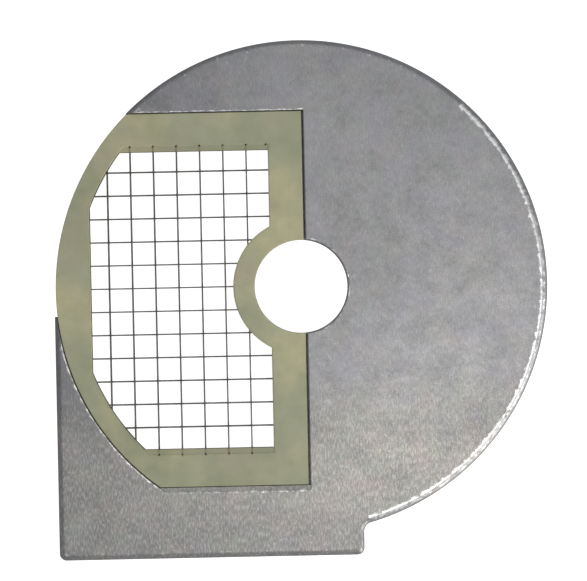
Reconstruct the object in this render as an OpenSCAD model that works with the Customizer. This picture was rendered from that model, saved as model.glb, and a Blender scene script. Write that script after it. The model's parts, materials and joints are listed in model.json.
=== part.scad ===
// Dicing grid for a disc-type vegetable preparation machine.
// A cast aluminium plate carries a drop-in nylon insert, and two sets of thin steel blades,
// half-lapped into each other, are moulded into the insert's walls.
// The plate lies in the XY plane with its underside at z = 0, and the drive shaft's axis is Z.

/* [Plate] */
// Diameter of the round plate
disc_d = 212; // [196:1:256]
// Thickness of the plate
plate_t = 12; // [10:0.5:16]
// Diameter of the shaft hole
bore_d = 40; // [32:0.5:46]
// Radius on the plate's upper edges
top_round = 2.5; // [0.5:0.1:3]
// Radius on the plate's lower edges
bottom_round = 1.5; // [0.5:0.1:2.5]
// Chamfer at the mouth of the shaft hole
bore_chamfer = 0.8; // [0.2:0.1:1.5]

/* [Locating tab] */
// How far the tab's straight left side stands outside the round rim
tab_left_proud = 0.3; // [0.1:0.1:3]
// How far the tab's front edge stands outside the round rim
tab_front_proud = 10; // [8:0.5:20]
// Distance from the shaft axis to the tab's right side
tab_right = 25; // [16:0.5:40]
// Distance from the shaft axis to the upper end of the tab's left side
tab_tip = 11; // [6:0.5:20]
// Radius of the tab's two outer corners
tab_corner_r = 3; // [3:0.1:5]
// Radius of the fillet between the rim and the tab's right side
tab_fillet_r = 4; // [2:0.5:6]

/* [Pocket in the plate] */
// Distance from the shaft axis to the pocket's back wall
pocket_back = 75.8; // [70:0.1:80]
// Distance from the shaft axis to the pocket's front wall
pocket_front = 85.5; // [80:0.5:88]
// Distance from the shaft axis to the pocket's right wall
pocket_right = 2.2; // [0:0.1:6]
// How far the pocket's round wall lies inside the rim's circle
pocket_rim = 0.1; // [0:0.1:1.5]
// Width of the ledge that carries the insert
ledge_w = 5; // [3:0.1:6]
// Thickness of the ledge
ledge_t = 3; // [2:0.1:3.3]
// Chamfer on the pocket's round wall and back wall
pocket_chamfer = 0.8; // [0.2:0.1:1.5]
// Chamfer on the pocket's right wall
right_chamfer = 1.2; // [0.2:0.1:2]
// Width of the shallow bevel along the pocket's front wall
front_bevel = 2.4; // [0.5:0.1:3]
// Depth of that bevel
front_bevel_d = 0.8; // [0.2:0.1:2]

/* [Nylon insert] */
// Gap between the insert and the pocket's round, front and back walls
insert_gap = 0.3; // [0.2:0.1:1]
// Gap between the insert and the pocket's right wall
right_gap = 0.7; // [0.2:0.1:1.5]
// How far the insert's top face lies below the plate's
insert_drop = 0.3; // [0.1:0.1:0.6]
// How far the insert's underside lies above the plate's
base_lift = 0.3; // [0.1:0.1:1]
// Thickness of the insert's left wall at its widest
left_wall = 15; // [12:0.1:20]
// Thickness of the insert's right wall
right_wall = 14.7; // [12:0.1:18]
// Thickness of the insert's back wall
back_wall = 16.3; // [12:0.1:20]
// Thickness of the insert's front wall
front_wall = 16.2; // [12:0.1:20]
// Thickness of the insert's round wall
round_wall = 8.3; // [7:0.1:10]
// Thickness of the insert's ring round the shaft hole
ring_wall = 9.2; // [7.5:0.1:12]
// Width of the shallow step along the window's front and back edges
step_w = 2.2; // [1.2:0.1:4]
// Depth of that step
step_d = 0.2; // [0.1:0.1:0.5]
// Diameter of the small hole over each long blade's end
peep_d = 0.9; // [0.5:0.1:1.5]

/* [Blades] */
// Distance from one blade to the next, which is the size of the cubes
pitch = 10; // [8:0.1:16]
// Clear distance from the window's left edge to the first long blade
first_long = 8; // [4:0.1:12]
// Clear distance from the window's back edge to the first cross blade
first_cross = 8.7; // [4:0.1:12]
// Thickness of a blade
blade_t = 0.6; // [0.3:0.05:1]
// Depth of a blade's ground edge below the insert's top face
edge_depth = 0.7; // [0.6:0.1:2]
// Height of a blade's lower edge above the ledge
blade_floor = 0.5; // [0.3:0.1:3]
// Height of the ground bevel
bevel_h = 1.2; // [0.4:0.1:2]
// Flat left on the ground edge
edge_t = 0.1; // [0.05:0.01:0.2]
// Length of each blade end held in the insert's wall
hold_l = 4; // [2.5:0.1:4.5]
// Side play of a blade in a notch or slot
play = 0.05; // [0.02:0.01:0.1]
// Nylon that must cover a blade beside the shaft hole, or else the blade stops short of it
bore_cover = 2; // [1:0.1:3]

/* [Hidden] */
$fn = 96;
far = 400;                 // longer than anything here, for tools that cut right across
over = 1;                  // how far a cutting tool runs past the face it starts from
round_steps = 5;           // flats that make up a quarter of an edge radius
fillet_bite = 0.1;         // lets a round tool cross the wall it blends with, instead of touching it
corner_bite = 0.05;

disc_r = disc_d / 2;
bore_r = bore_d / 2;
tab_left = disc_r + tab_left_proud;
tab_front = disc_r + tab_front_proud;
pocket_r = disc_r - pocket_rim;

insert_top = plate_t - insert_drop;
insert_r = pocket_r - insert_gap;
insert_back = pocket_back - insert_gap;
insert_front = pocket_front - insert_gap;
insert_right = pocket_right - right_gap;

window_r = insert_r - round_wall;
window_left = insert_r - left_wall;
window_back = insert_back - back_wall;
window_front = insert_front - front_wall;
window_right = right_wall - insert_right;
ring_r = bore_r + ring_wall;

blade_top = insert_top - edge_depth;
blade_bottom = ledge_t + blade_floor;
blade_h = blade_top - blade_bottom;
blade_mid = blade_bottom + blade_h / 2;
slot_t = blade_t + 2 * play;

// How far a circle of radius r reaches along one axis at the distance d along the other.
function reach(r, d) = abs(d) < r ? sqrt(r * r - d * d) : 0;

// Where the blades stand, and how far each of them runs with its ends held in the walls.
long_x = [for (x = [-window_left + first_long : pitch : -window_right - blade_t]) x];
cross_y = [for (y = [window_back - first_cross : -pitch : -window_front + blade_t]) y];
function long_back(x) = min(window_back, reach(window_r, x)) + hold_l;
function long_front(x) = -min(window_front, reach(window_r, x)) - hold_l;
function cross_left(y) = -min(window_left, reach(window_r, y)) - hold_l;
function cross_right(y) = -max(window_right, reach(ring_r, y)) + hold_l;

// A long blade is one strip, or two where it would come too near the shaft hole.
function long_spans(x) = let (inner = reach(ring_r, x) - hold_l)
    abs(x) < bore_r + bore_cover
        ? [[long_front(x), -inner], [inner, long_back(x)]]
        : [[long_front(x), long_back(x)]];

// Whether the blades at x and at y meet, the width of a slot included.
function crossing(x, y) =
    x > cross_left(y) - slot_t && x < cross_right(y) + slot_t
    && len([for (span = long_spans(x)) if (y > span[0] - slot_t && y < span[1] + slot_t) 1]) > 0;

// Points of an edge radius r about the centre c, from angle a0 to a1.
function edge_arc(c, r, a0, a1) =
    [for (k = [0 : round_steps]) let (a = a0 + (a1 - a0) * k / round_steps)
        [c[0] + r * cos(a), c[1] + r * sin(a)]];

// Right-hand half of the plate's section, out to the distance x from its middle.
function half_section(x) = concat(
    edge_arc([x - bottom_round, bottom_round], bottom_round, -90, 0),
    edge_arc([x - top_round, plate_t - top_round], top_round, 0, 90)
);

// The plate's section between x0 and x1, with its edges rounded.
module section(x0, x1) {
    right = half_section(x1);
    left = [for (p = half_section(-x0)) [-p[0], p[1]]];
    polygon(concat(right, [for (k = [len(left) - 1 : -1 : 0]) left[k]]));
}

// A round blank of radius r with the plate's edge radii.
module round_blank(r) {
    rotate_extrude() polygon(concat([[0, 0]], half_section(r), [[0, plate_t]]));
}

// The tab's block. Its hidden back end lies inside the round part or the pocket.
module tab_block() {
    intersection() {
        translate([0, far / 2, 0]) rotate([90, 0, 0]) linear_extrude(far)
            section(-tab_left, tab_right);
        translate([-far / 2, 0, 0]) rotate([90, 0, 90]) linear_extrude(far)
            section(-tab_front, -tab_tip);
    }
}

// What a rounded corner takes off the block: side is -1 at the left corner and 1 at the right one.
module corner_cut(x, side) {
    in = tab_corner_r - corner_bite;
    centre = [x - side * in, -tab_front + in, 0];
    difference() {
        translate([min(centre[0], centre[0] + side * (in + over)), -tab_front - over, -over])
            cube([in + over, in + over, plate_t + 2 * over]);
        translate(centre) round_blank(tab_corner_r);
    }
}

// Fillet between the rim and the tab's right side, with the plate's edge radii turned outwards.
module tab_fillet() {
    x = tab_right + tab_fillet_r - fillet_bite;
    y = -reach(disc_r + tab_fillet_r - fillet_bite, x);
    reach_in = 6;
    rim_angle = atan2(y, x);
    rim_point = (disc_r - reach_in / 2) * [cos(rim_angle), sin(rim_angle)];
    difference() {
        linear_extrude(plate_t)
            polygon([[tab_right - reach_in, y], [x, y], rim_point, [tab_right - reach_in, y + 2 * reach_in]]);
        translate([x, y, 0]) rotate_extrude() polygon(concat(
            [[0, -over], [tab_fillet_r + bottom_round, -over]],
            edge_arc([tab_fillet_r + bottom_round, bottom_round], bottom_round, 270, 180),
            edge_arc([tab_fillet_r + top_round, plate_t - top_round], top_round, 180, 90),
            [[tab_fillet_r + top_round, plate_t + over], [0, plate_t + over]]
        ));
    }
}

// Space between the pocket's back and front walls, flared by the back chamfer and the front bevel.
module pocket_band() {
    flare = front_bevel * (1 + over / front_bevel_d);
    translate([-far / 2, 0, 0]) rotate([90, 0, 90]) linear_extrude(far) polygon([
        [-pocket_front, ledge_t], [pocket_back, ledge_t], [pocket_back, plate_t - pocket_chamfer],
        [pocket_back + pocket_chamfer + over, plate_t + over],
        [-pocket_front - flare, plate_t + over], [-pocket_front, plate_t - front_bevel_d]
    ]);
}

// The pocket itself, and the open stretch of rim, from the tab to the back wall, where the insert shows
// at the plate's edge.
module pocket() {
    intersection() {
        pocket_band();
        translate([0, far / 2, 0]) rotate([90, 0, 0]) linear_extrude(far) polygon([
            [-far, ledge_t], [pocket_right, ledge_t], [pocket_right, plate_t - right_chamfer],
            [pocket_right + right_chamfer + over, plate_t + over], [-far, plate_t + over]
        ]);
        rotate_extrude() polygon([
            [0, ledge_t], [pocket_r, ledge_t], [pocket_r, plate_t - pocket_chamfer],
            [pocket_r + pocket_chamfer + over, plate_t + over], [0, plate_t + over]
        ]);
    }
    intersection() {
        pocket_band();
        translate([-far - disc_r / 2, -tab_tip, 0]) cube([far, far, far]);
    }
}

// Outline shared by the insert's flange, its core and the ledge's opening:
// the pocket's outline, moved in by d, with a hole of radius hole_r about the shaft.
module pocket_outline(d_round, d_back, d_front, d_right, hole_r) {
    difference() {
        intersection() {
            circle(pocket_r - d_round);
            translate([-far + pocket_right - d_right, -pocket_front + d_front])
                square([far, pocket_front - d_front + pocket_back - d_back]);
        }
        circle(hole_r);
    }
}

module base_plate() {
    color("#8d8f93") difference() {
        union() {
            round_blank(disc_r);
            difference() {
                tab_block();
                corner_cut(-tab_left, -1);
                corner_cut(tab_right, 1);
            }
            tab_fillet();
        }
        pocket();
        translate([0, 0, -over]) linear_extrude(ledge_t + 2 * over)
            pocket_outline(ledge_w, ledge_w, ledge_w, ledge_w, bore_r + ledge_w);
        translate([0, 0, -over]) cylinder(h = plate_t + 2 * over, r = bore_r);
        translate([0, 0, plate_t - bore_chamfer])
            cylinder(h = bore_chamfer + over, r1 = bore_r, r2 = bore_r + bore_chamfer + over);
    }
}

// The opening that the food passes through.
module window_outline() {
    difference() {
        intersection() {
            circle(window_r);
            translate([-window_left, -window_front])
                square([window_left - window_right, window_front + window_back]);
        }
        circle(ring_r);
    }
}

// Shallow steps along the window's back and front edges, which run out at its round wall.
module edge_steps() {
    intersection() {
        translate([-window_left, -window_front - step_w, insert_top - step_d])
            cube([window_left - window_right, window_front + window_back + 2 * step_w, step_d + over]);
        cylinder(h = plate_t + over, r = window_r);
    }
}

// Small holes over the long blades' ends, where these lie along a straight edge, and one at the corner.
module peep_holes() {
    corner_x = -window_right - peep_d;
    back_x = [for (x = long_x) if (reach(window_r, x) > window_back) x];
    front_x = [for (x = long_x) if (reach(window_r, x) > window_front) x];
    for (x = concat(back_x, [corner_x])) translate([x, window_back + step_w, blade_top - edge_depth])
        cylinder(h = plate_t, d = peep_d);
    for (x = front_x) translate([x, -window_front - step_w, blade_top - edge_depth])
        cylinder(h = plate_t, d = peep_d);
}

module insert_frame() {
    ledge_fit = ledge_w + insert_gap;
    color("#a3a487") difference() {
        union() {
            translate([0, 0, ledge_t]) linear_extrude(insert_top - ledge_t)
                pocket_outline(insert_gap, insert_gap, insert_gap, right_gap, bore_r);
            translate([0, 0, base_lift]) linear_extrude(ledge_t)
                pocket_outline(ledge_fit, ledge_fit, ledge_fit, ledge_fit, bore_r + ledge_fit);
        }
        translate([0, 0, -over]) linear_extrude(plate_t + 2 * over) window_outline();
        edge_steps();
        peep_holes();
        for (x = long_x) for (span = long_spans(x))
            translate([x - slot_t / 2, span[0], blade_bottom])
                cube([slot_t, span[1] - span[0], blade_h]);
        for (y = cross_y)
            translate([cross_left(y), y - slot_t / 2, blade_bottom])
                cube([cross_right(y) - cross_left(y), slot_t, blade_h]);
    }
}

// A blade's section across its length, with its ground edge up.
module blade_section() {
    polygon([
        [-blade_t / 2, blade_bottom], [blade_t / 2, blade_bottom], [blade_t / 2, blade_top - bevel_h],
        [edge_t / 2, blade_top], [-edge_t / 2, blade_top], [-blade_t / 2, blade_top - bevel_h]
    ]);
}

// A blade along Y, notched from below where it straddles the cross blades.
module long_blade(x) {
    color("#b9bbbe") difference() {
        for (span = long_spans(x))
            translate([x, span[1], 0]) rotate([90, 0, 0])
                linear_extrude(span[1] - span[0]) blade_section();
        for (y = cross_y) if (crossing(x, y))
            translate([x - blade_t, y - slot_t / 2, blade_bottom - over])
                cube([2 * blade_t, slot_t, blade_mid - blade_bottom + over]);
    }
}

// A blade along X, notched from above where the long blades drop into it.
module cross_blade(y) {
    color("#b9bbbe") difference() {
        translate([cross_left(y), y, 0]) rotate([90, 0, 90])
            linear_extrude(cross_right(y) - cross_left(y)) blade_section();
        for (x = long_x) if (crossing(x, y))
            translate([x - slot_t / 2, y - blade_t, blade_mid])
                cube([slot_t, 2 * blade_t, blade_h]);
    }
}

base_plate();
insert_frame();
for (i = [1 : len(long_x)])
    long_blade(long_x[i - 1]);
for (j = [1 : len(cross_y)])
    cross_blade(cross_y[j - 1]);
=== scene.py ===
"""A dicing grid plate: a cast plate, the nylon insert that drops into it, and its ground blades.

The packed model gives the frame. The casting, the moulding and the blades are built here as fine meshes
in its place, with worn edges and their own finishes. All lengths are in metres.
"""

import json
import math

import bmesh
import bpy
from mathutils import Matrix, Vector, noise
from mathutils.geometry import delaunay_2d_cdt


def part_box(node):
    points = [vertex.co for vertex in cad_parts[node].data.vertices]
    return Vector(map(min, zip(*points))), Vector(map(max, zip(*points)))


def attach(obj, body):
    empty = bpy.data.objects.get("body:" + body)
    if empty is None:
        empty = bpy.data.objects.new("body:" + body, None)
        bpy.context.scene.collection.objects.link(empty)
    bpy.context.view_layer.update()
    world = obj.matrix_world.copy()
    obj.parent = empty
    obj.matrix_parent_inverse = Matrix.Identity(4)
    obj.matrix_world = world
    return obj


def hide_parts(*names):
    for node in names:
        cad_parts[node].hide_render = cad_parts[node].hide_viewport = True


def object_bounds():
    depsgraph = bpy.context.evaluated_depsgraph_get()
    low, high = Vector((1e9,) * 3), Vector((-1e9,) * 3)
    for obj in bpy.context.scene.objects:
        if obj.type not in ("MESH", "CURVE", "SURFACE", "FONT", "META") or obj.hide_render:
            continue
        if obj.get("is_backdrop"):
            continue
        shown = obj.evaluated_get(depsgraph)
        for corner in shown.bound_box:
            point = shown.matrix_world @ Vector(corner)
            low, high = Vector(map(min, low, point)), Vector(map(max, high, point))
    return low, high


bl_info = {
    "name": "Dicing grid plate",
    "version": (1, 0, 0),
    "blender": (4, 5, 0),
    "location": "View3D > Sidebar > Dicing grid",
    "description": "Builds a dicing grid plate with its nylon insert and ground blades",
    "category": "Object",
}

MM = 0.001
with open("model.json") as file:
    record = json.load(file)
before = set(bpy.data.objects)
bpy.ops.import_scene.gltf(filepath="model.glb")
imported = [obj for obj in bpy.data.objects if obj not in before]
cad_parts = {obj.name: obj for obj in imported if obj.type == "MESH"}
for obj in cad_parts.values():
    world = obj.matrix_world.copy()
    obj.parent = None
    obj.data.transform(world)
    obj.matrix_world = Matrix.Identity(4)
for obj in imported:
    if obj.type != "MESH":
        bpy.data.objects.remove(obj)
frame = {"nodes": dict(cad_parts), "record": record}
CAD_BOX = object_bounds()
PLATE_LOW, PLATE_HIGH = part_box("base_plate")
INSERT_LOW, INSERT_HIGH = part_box("insert_frame")
MOUNTS = {mount["name"]: mount for mount in frame["record"]["mounts"]}
BORE_RADIUS = MOUNTS["shaft_bore"]["dims"]["r_mm"] * MM
TAB_RIGHT = MOUNTS["tab_right_face"]["pos_m"][0]
STEP_STAIN, PEEP_STAIN = 0.5, 1.0  # values of the stain attribute on the steps and in the peep holes
WORN_DEPTH = 1.6 * MM  # wear reaches no deeper than this below a face
FINE = 0.8 * MM  # distance between points along the pocket and the shaft hole
CLOSE = 0.4 * MM  # distance between points round the tab's corners
CALM = 2 * MM  # an uneven edge runs true over this length at each of its ends
RIPPLES = ((320, 1.0), (900, 0.5))  # an edge's unevenness: (ripples, share) of the long and the short ones
MERGED = 1e-6  # points of a shell that are closer than this are one
LOWER_HALF, NO_NOTCH = -1.0, 3.0  # Notch side: notches in a blade's lower half, or clear of the blade


# ---------------------------------------------------------------- settings


def length(name, description, default):
    return bpy.props.FloatProperty(
        name=name, description=description, default=default, unit="LENGTH", precision=5
    )


def angle(name, description, default):
    return bpy.props.FloatProperty(name=name, description=description, default=default, subtype="ANGLE")


def amount(name, description, default):
    return bpy.props.FloatProperty(name=name, description=description, default=default, min=0)


def colour(name, description, default):
    return bpy.props.FloatVectorProperty(
        name=name, description=description, default=default, size=3, subtype="COLOR", min=0, max=1
    )


class PlateSettings(bpy.types.PropertyGroup):
    """Sizes of the cast plate. The outline's own sizes come from the packed model."""

    rim_r: length("Rim radius", "Radius of the round plate", PLATE_HIGH.y)
    thickness: length("Thickness", "Thickness of the plate", PLATE_HIGH.z)
    bore_r: length("Bore radius", "Radius of the shaft hole", BORE_RADIUS)
    tab_left: length("Tab left side", "Shaft axis to the tab's left side", -PLATE_LOW.x)
    tab_front: length("Tab front side", "Shaft axis to the tab's front side", -PLATE_LOW.y)
    tab_right: length("Tab right side", "Shaft axis to the tab's right side", TAB_RIGHT)
    tab_tip: length("Tab tip", "Shaft axis to the upper end of the tab's left side", 11 * MM)
    corner_r: length("Corner radius", "Radius of the tab's corners", 3 * MM)
    fillet_r: length("Fillet radius", "Fillet between the rim and the tab", 4 * MM)
    pocket_back: length("Pocket back", "Shaft axis to the pocket's back wall", 75.8 * MM)
    pocket_front: length("Pocket front", "Shaft axis to the pocket's front wall", 85.5 * MM)
    pocket_right: length("Pocket right", "Shaft axis to the pocket's right wall", 2.2 * MM)
    pocket_rim: length("Pocket rim", "Pocket's round wall inside the rim's circle", 0.1 * MM)
    ledge_w: length("Ledge width", "Width of the ledge that carries the insert", 5 * MM)
    ledge_t: length("Ledge thickness", "Thickness of that ledge", 3 * MM)
    rim_round: length("Rim rounding", "Softened edge of the rim and the tab", 2.5 * MM)
    # The rim from the tab round to this angle carries a painted highlight.
    highlight_to: angle("Rubbed to", "Angle from the X axis where the bright rim ends", math.radians(48))
    foot_round: length("Foot rounding", "Radius on the plate's lower outer edge", 1.5 * MM)
    bore_round: length("Bore rounding", "Softened edge of the shaft hole", 0.8 * MM)
    pocket_round: length("Pocket rounding", "Softened edge of the back and round walls", 0.4 * MM)
    right_round: length("Right rounding", "Softened edge of the pocket's right wall", 0.5 * MM)
    front_bevel: length("Front bevel", "Width of the bevel along the pocket's front wall", 2.4 * MM)
    front_bevel_d: length("Front bevel depth", "Depth of that bevel", 0.8 * MM)


class InsertSettings(bpy.types.PropertyGroup):
    """Sizes of the nylon insert."""

    radius: length("Radius", "Radius of the insert's round side", -INSERT_LOW.x)
    back: length("Back", "Shaft axis to the insert's back", INSERT_HIGH.y)
    front: length("Front", "Shaft axis to the insert's front", -INSERT_LOW.y)
    right: length("Right", "Shaft axis to the insert's right side", INSERT_HIGH.x)
    top: length("Top", "Height of the insert's top face", INSERT_HIGH.z)
    underside: length("Underside", "Height of the insert's underside", INSERT_LOW.z)
    core_gap: length("Core gap", "Gap between the insert's core and the ledge", 0.3 * MM)
    left_wall: length("Left wall", "Thickness of the left wall", 15 * MM)
    right_wall: length("Right wall", "Thickness of the right wall", 14.7 * MM)
    back_wall: length("Back wall", "Thickness of the back wall", 16.3 * MM)
    front_wall: length("Front wall", "Thickness of the front wall", 16.2 * MM)
    round_wall: length("Round wall", "Thickness of the round wall", 8.3 * MM)
    ring_wall: length("Ring wall", "Thickness of the ring round the shaft hole", 9.2 * MM)
    step_w: length("Step width", "Width of the steps beside the window", 2.2 * MM)
    step_d: length("Step depth", "Depth of the steps beside the window", 0.2 * MM)
    peep_r: length("Peep hole radius", "Radius of the holes over the blades' ends", 0.45 * MM)
    peep_d: length("Peep hole depth", "Depth of the holes over the blades' ends", 1.4 * MM)
    edge_round: length("Edge rounding", "Radius on the insert's outer edge", 0.3 * MM)
    window_round: length("Window rounding", "How far the window's edge is softened", 0.4 * MM)
    step_round: length("Step rounding", "How far the steps' edges are softened", 0.35 * MM)


class BladeSettings(bpy.types.PropertyGroup):
    """What a blade's box in the packed model doesn't say."""

    bevel_h: length("Bevel height", "Height of the ground bevel", 1.2 * MM)
    land: length("Edge land", "Width of the flat left on the edge", 0.1 * MM)
    play: length("Notch play", "Side play of a blade in a notch", 0.05 * MM)
    wander: length("Wander", "How far a thin blade bows out of line", 0.03 * MM)


class FinishSettings(bpy.types.PropertyGroup):
    """Colours of the finishes."""

    metal: colour("Cast metal", "Tumbled aluminium", (0.342, 0.344, 0.348))
    # Also the colour of the painted shade towards the plate's left.
    metal_dark: colour("Dull metal", "Oxidised patches", (0.185, 0.186, 0.193))
    metal_cool: colour("Bluish metal", "Faint bluish patches", (0.262, 0.260, 0.305))
    # The colour of the painted warm reflection towards the tab.
    metal_warm_reflection: colour("Stained metal", "Warm stains towards the tab", (0.325, 0.306, 0.262))
    metal_green: colour("Greenish metal", "Faint greenish patches", (0.268, 0.302, 0.258))
    metal_pink: colour("Pinkish metal", "Faint pinkish patches", (0.345, 0.290, 0.275))
    # Worn metal, and the colour of the painted highlight on the plate's right rim.
    metal_worn_and_highlight: colour("Worn metal", "Bright metal on rubbed edges", (0.94, 0.94, 0.94))
    nylon: colour("Nylon", "Aged natural nylon", (0.372, 0.374, 0.250))
    nylon_yellow: colour("Yellowed nylon", "Yellower, paler patches", (0.490, 0.452, 0.262))
    nylon_olive: colour("Olive nylon", "Greener, darker patches", (0.262, 0.278, 0.170))
    nylon_pink: colour("Stained nylon", "Pinkish brown patches", (0.405, 0.345, 0.245))
    # Also the colour of the painted shade along the window's edge.
    grime: colour("Grime", "Dirt in the nylon's steps and on its edges", (0.185, 0.170, 0.095))
    steel: colour("Blade steel", "Ground steel", (0.300, 0.290, 0.287))
    steel_dark: colour("Stained steel", "Food-stained steel", (0.140, 0.132, 0.128))
    rust: colour("Rust", "Rust in the notches and at the ends", (0.085, 0.038, 0.020))
    rust_stain: colour("Rust stain", "Rust that has soaked into the nylon", (0.160, 0.085, 0.050))


class StageSettings(bpy.types.PropertyGroup):
    """The camera and the light."""

    camera_height: length("Camera height", "Camera above the plate's top face", 2.0)
    view_width: length("View width", "Width seen at the plate's top face", 252.4 * MM)
    look_right: length("Look right", "View's middle from the shaft axis, to the right", -3.3 * MM)
    look_up: length("Look up", "View's middle from the shaft axis, upwards", -1.8 * MM)
    roll: angle("Roll", "How far the plate is turned in the view", math.radians(1.2))
    world: amount("World light", "Strength of the even light", 0.42)
    floor_glow: amount("Floor glow", "How white the floor is seen, even in a shadow", 0.95)
    key: amount("Key light", "Power of the light above the plate's front right, in watts", 0.54)
    side: amount("Side light", "Power of the low light at the front right, in watts", 4.3)
    fill: amount("Fill light", "Power of the cool light behind, in watts", 1.5)


SETTINGS = {
    "dicer_plate": PlateSettings,
    "dicer_insert": InsertSettings,
    "dicer_blades": BladeSettings,
    "dicer_finish": FinishSettings,
    "dicer_stage": StageSettings,
}


def blade_names(kind):
    """The packed model's blades of one kind, in order along the grid."""
    names = [name for name in frame["nodes"] if name.startswith(kind)]
    return sorted(names, key=lambda name: int(name.rsplit("_", 1)[1]))


def middle_of(name):
    """The middle of a node of the packed model."""
    low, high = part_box(name)
    return (low + high) / 2


def placed(name, data):
    """A new object in the scene, at the origin."""
    made = bpy.data.objects.new(name, data)
    bpy.context.scene.collection.objects.link(made)
    return made


# ---------------------------------------------------------------- outlines


class Edge:
    """How an outline's side is softened where it meets a face, and how worn it looks. The wear value also
    carries the painted highlight on the plate's right rim and the painted shade along the insert's window.
    """

    def __init__(self, size, depth=None, power=2.0, wobble=0.0, wear=0.5, fade=1.2 * MM):
        self.size = size  # how far the softening reaches in from the side
        self.depth = depth or size  # how far it reaches down from the face
        self.power = power  # 2 is a quarter round, 1 a straight bevel
        self.wobble = wobble  # unevenness, as a share of the size
        self.wear = wear  # value of the wear attribute on the edge
        self.fade = fade  # how far the wear spreads over the face

    def inset(self, depth):
        """How far the edge stands in from the side at a depth below the face."""
        if depth >= self.depth:
            return 0.0
        rise = 1 - max(depth, 0.0) / self.depth
        return self.size * (1 - (1 - rise**self.power) ** (1 / self.power))


class Side:
    """One straight or round stretch of an outline, with the solid on its left."""

    def __init__(self, start, end, edge, centre=None, clockwise=False, spacing=1.5 * MM, stops=None):
        self.start, self.end = Vector(start), Vector(end)
        self.edge = edge
        self.centre = None if centre is None else Vector(centre)
        self.clockwise = clockwise
        if stops is None:
            count = max(1, math.ceil(self.length() / spacing))
            stops = [k / count for k in range(count)]
        self.stops = stops

    def with_edge(self, edge):
        """The same stretch with another edge, and with its points at the same places."""
        return Side(self.start, self.end, edge, self.centre, self.clockwise, stops=self.stops)

    def length(self):
        if self.centre is None:
            return (self.end - self.start).length
        return abs(self.sweep(self.start, self.end)) * (self.start - self.centre).length

    def sweep(self, a, b):
        """Angle from a to b round the centre, in the side's own direction."""
        turn = math.atan2(*(b - self.centre).yx) - math.atan2(*(a - self.centre).yx)
        return -((-turn) % math.tau) if self.clockwise else turn % math.tau

    def moved(self, inset):
        """The side's line or circle, moved into the solid."""
        if self.centre is None:
            along = (self.end - self.start).normalized()
            return ("line", self.start + inset * Vector((-along.y, along.x)), along)
        radius = (self.start - self.centre).length
        return ("circle", self.centre, radius + inset if self.clockwise else radius - inset)

    def points(self, curve, a, b):
        """(place, direction into the solid, share of the way along) for each stop from a to b."""
        if self.centre is None:
            inward = Vector((-curve[2].y, curve[2].x))
            return [(a.lerp(b, t), inward, t) for t in self.stops]
        if (b - a).length < 1e-9:
            return [(a.copy(), Vector((0, 0)), t) for t in self.stops]
        first = math.atan2(*(a - self.centre).yx)
        sweep = self.sweep(a, b)
        found = []
        for t in self.stops:
            out = Vector((math.cos(first + sweep * t), math.sin(first + sweep * t)))
            found.append((self.centre + curve[2] * out, out if self.clockwise else -out, t))
        return found


def meet(a, b, near):
    """The crossing of two lines or circles that is nearest to a point."""
    if a[0] == "circle" and b[0] == "line":
        return meet(b, a, near)
    if b[0] == "line":
        turn = a[2].cross(b[2])
        if abs(turn) < 1e-6:
            return a[1] + a[2] * (near - a[1]).dot(a[2])
        return a[1] + a[2] * ((b[1] - a[1]).cross(b[2]) / turn)
    if a[0] == "line":
        foot = a[1] + a[2] * (b[1] - a[1]).dot(a[2])
        half = math.sqrt(max(0.0, b[2] ** 2 - (b[1] - foot).length_squared))
        return min((foot + a[2] * half, foot - a[2] * half), key=lambda p: (p - near).length)
    gap = (b[1] - a[1]).length
    if gap < 1e-7:
        return a[1] + (near - a[1]).normalized() * (a[2] + b[2]) / 2
    towards = (b[1] - a[1]) / gap
    along = (a[2] ** 2 - b[2] ** 2 + gap**2) / (2 * gap)
    half = math.sqrt(max(0.0, a[2] ** 2 - along**2))
    foot = a[1] + towards * along
    aside = Vector((-towards.y, towards.x)) * half
    return min((foot + aside, foot - aside), key=lambda p: (p - near).length)


def ring(sides, z, depth=math.inf, margin=0.0):
    """The outline at one height: (place, wear) for each point, softened by the depth below the face."""
    insets = [side.edge.inset(depth) + margin * side.edge.fade for side in sides]
    curves = [side.moved(inset) for side, inset in zip(sides, insets)]
    joints = []
    for i, side in enumerate(sides):
        moved = insets[i - 1] or insets[i]
        joints.append(meet(curves[i - 1], curves[i], side.start) if moved else side.start)
    for i, side in enumerate(sides):
        j = (i + 1) % len(sides)
        if (joints[j] - joints[i]).dot(side.end - side.start) <= 0:
            # The neighbours have closed over this side, so it shrinks to the point where they meet.
            joints[i] = joints[j] = meet(curves[i - 1], curves[j], joints[i])
    found = []
    for i, side in enumerate(sides):
        j = (i + 1) % len(sides)
        share = side.edge.inset(depth) / side.edge.size if side.edge.size else 0
        worn_depth = min(side.edge.depth, WORN_DEPTH)
        near_edge = max(0.0, 1 - depth / worn_depth) if depth < math.inf else 0.0
        wear = side.edge.wear * (1 - margin if margin else near_edge**2)
        for place, inward, t in side.points(curves[i], joints[i], joints[j]):
            ends = min(t, 1 - t) * (joints[j] - joints[i]).length
            sway = side.edge.wobble * side.edge.size * share * min(1.0, ends / CALM)
            rough = sum(part * noise.noise(place.to_3d() * ripples) for ripples, part in RIPPLES)
            place = place + inward * sway * rough
            found.append((Vector((place.x, place.y, z)), wear))
    return found


def depths(sides, steps=6):
    """The depths below a face at which an outline needs a ring, deepest first."""
    deep = {side.edge.depth for side in sides}
    found = {depth * (1 - math.sin(k / steps * math.pi / 2)) for depth in deep for k in range(steps + 1)}
    return sorted(found | {max(deep) + 1 * MM}, reverse=True)


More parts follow.
